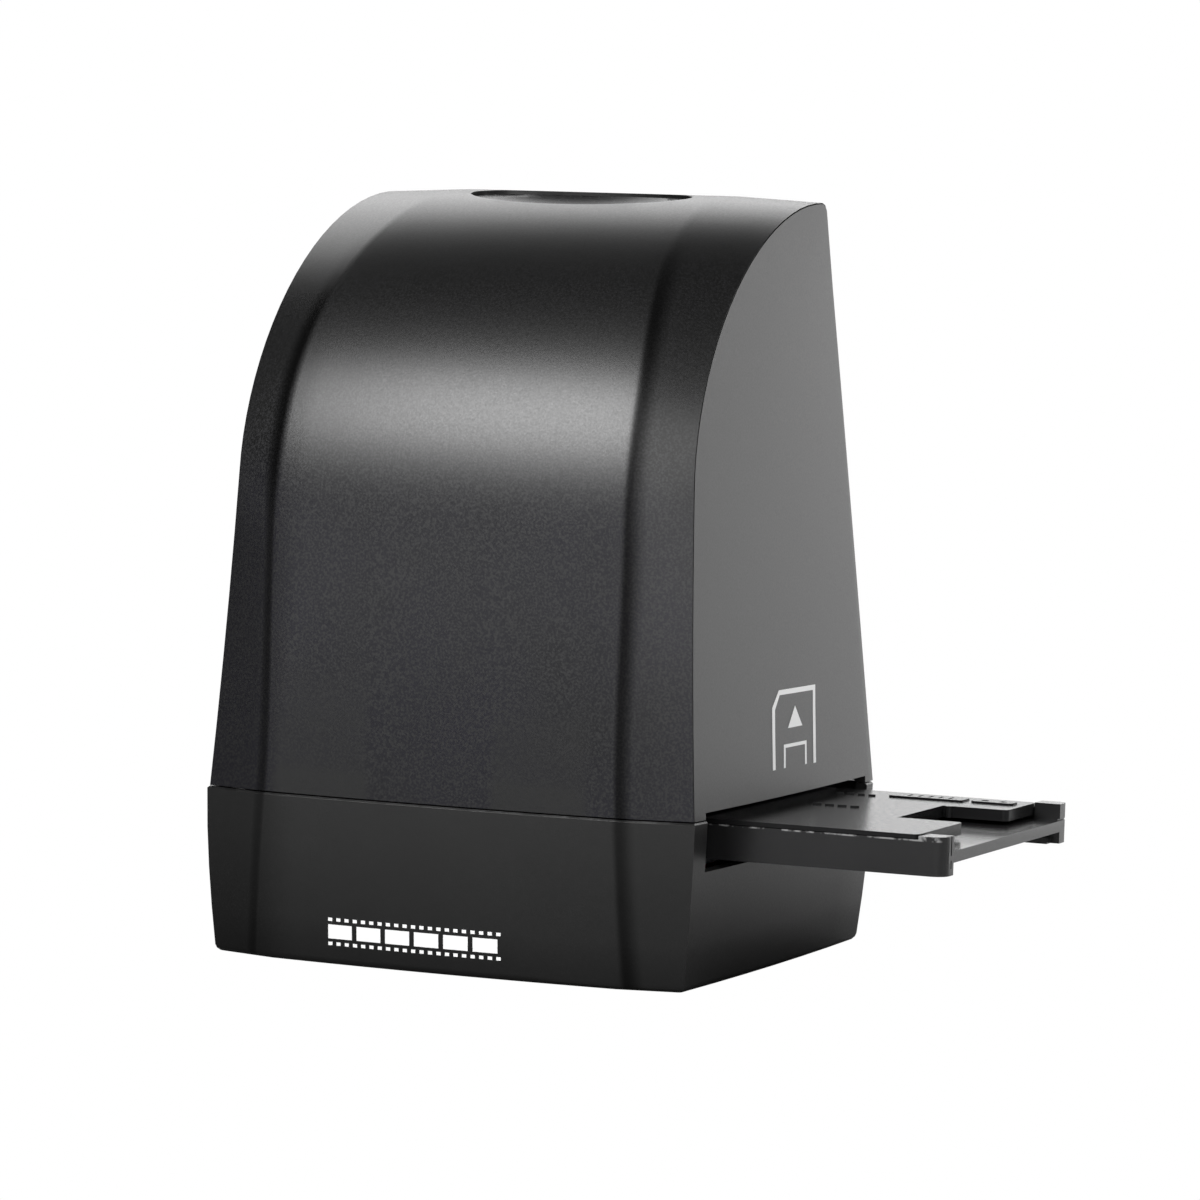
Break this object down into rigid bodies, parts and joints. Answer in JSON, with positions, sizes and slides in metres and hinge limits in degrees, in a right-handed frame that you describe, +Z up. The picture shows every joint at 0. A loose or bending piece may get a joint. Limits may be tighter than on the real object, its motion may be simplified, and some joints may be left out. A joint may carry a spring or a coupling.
{
  "type": "film negative scanner",
  "caption": "Desktop film and negative scanner: tall smoked-cover housing with a curved top, oval scan button and a hinged film holder that slides through side slots.",
  "frame": {"origin": "centre of the housing's footprint, in the plane that the rubber feet stand on", "axes": "+X to the right, the way the film holder stands out; -Y to the front with the smoked cover; +Z up"},
  "size_m": [0.1295, 0.0869, 0.1266],
  "materials": {
    "base_plastic": "fine grained black",
    "cover_plastic": "smoked grey, half clear",
    "shell_plastic": "satin dark grey",
    "foot_rubber": "matte",
    "screw_steel": "plain",
    "spring_steel": "bright",
    "socket_steel": "bright",
    "board": "solder-masked circuit board",
    "led_plastic": "plain",
    "white_plastic": "white",
    "track_plastic": "matte black",
    "chassis_plastic": "satin grey",
    "chip_plastic": "moulded black",
    "lens_glass": "coated",
    "cable_plastic": "flat ribbon",
    "wire_plastic": "insulated",
    "button_plastic": "gloss black",
    "holder_plastic": "gloss black"
  },
  "bodies": {
    "housing": {"base_shell": "base_plastic", "rubber_feet": "foot_rubber", "base_screws": "screw_steel", "front_cover": "cover_plastic", "rear_shell": "shell_plastic", "backlight_board": "board", "backlight_leds": "led_plastic", "reflector_box": "white_plastic", "diffuser_plate": "white_plastic", "backlight_screws": "screw_steel", "film_track": "track_plastic", "detent_spring": "spring_steel", "inner_chassis": "chassis_plastic", "light_tunnel": "track_plastic", "lens_barrel": "track_plastic", "lens_glass": "lens_glass", "lens_holder": "track_plastic", "image_sensor": "chip_plastic", "camera_board": "board", "board_screws": "screw_steel", "main_board": "board", "controller_chips": "chip_plastic", "usb_socket": "socket_steel", "ribbon_connectors": "led_plastic", "ribbon_cable": "cable_plastic", "backlight_cable": "wire_plastic", "button_board": "board", "tact_switch": "chip_plastic"},
    "holder": {"holder_base": "holder_plastic", "holder_lid": "holder_plastic"},
    "button": {"switch_plunger": "led_plastic", "scan_button": "button_plastic"}
  },
  "joints": [
    {"name": "holder_slide", "type": "slide", "parent": "housing", "child": "holder", "axis": [1, 0, 0], "range_m": [-0.1245, 0.094]},
    {"name": "button_press", "type": "slide", "parent": "housing", "child": "button", "axis": [0, 0, -1], "range_m": [0, 0.0005], "stiffness_N_per_m": 900, "springref_m": -0.0002}
  ]
}
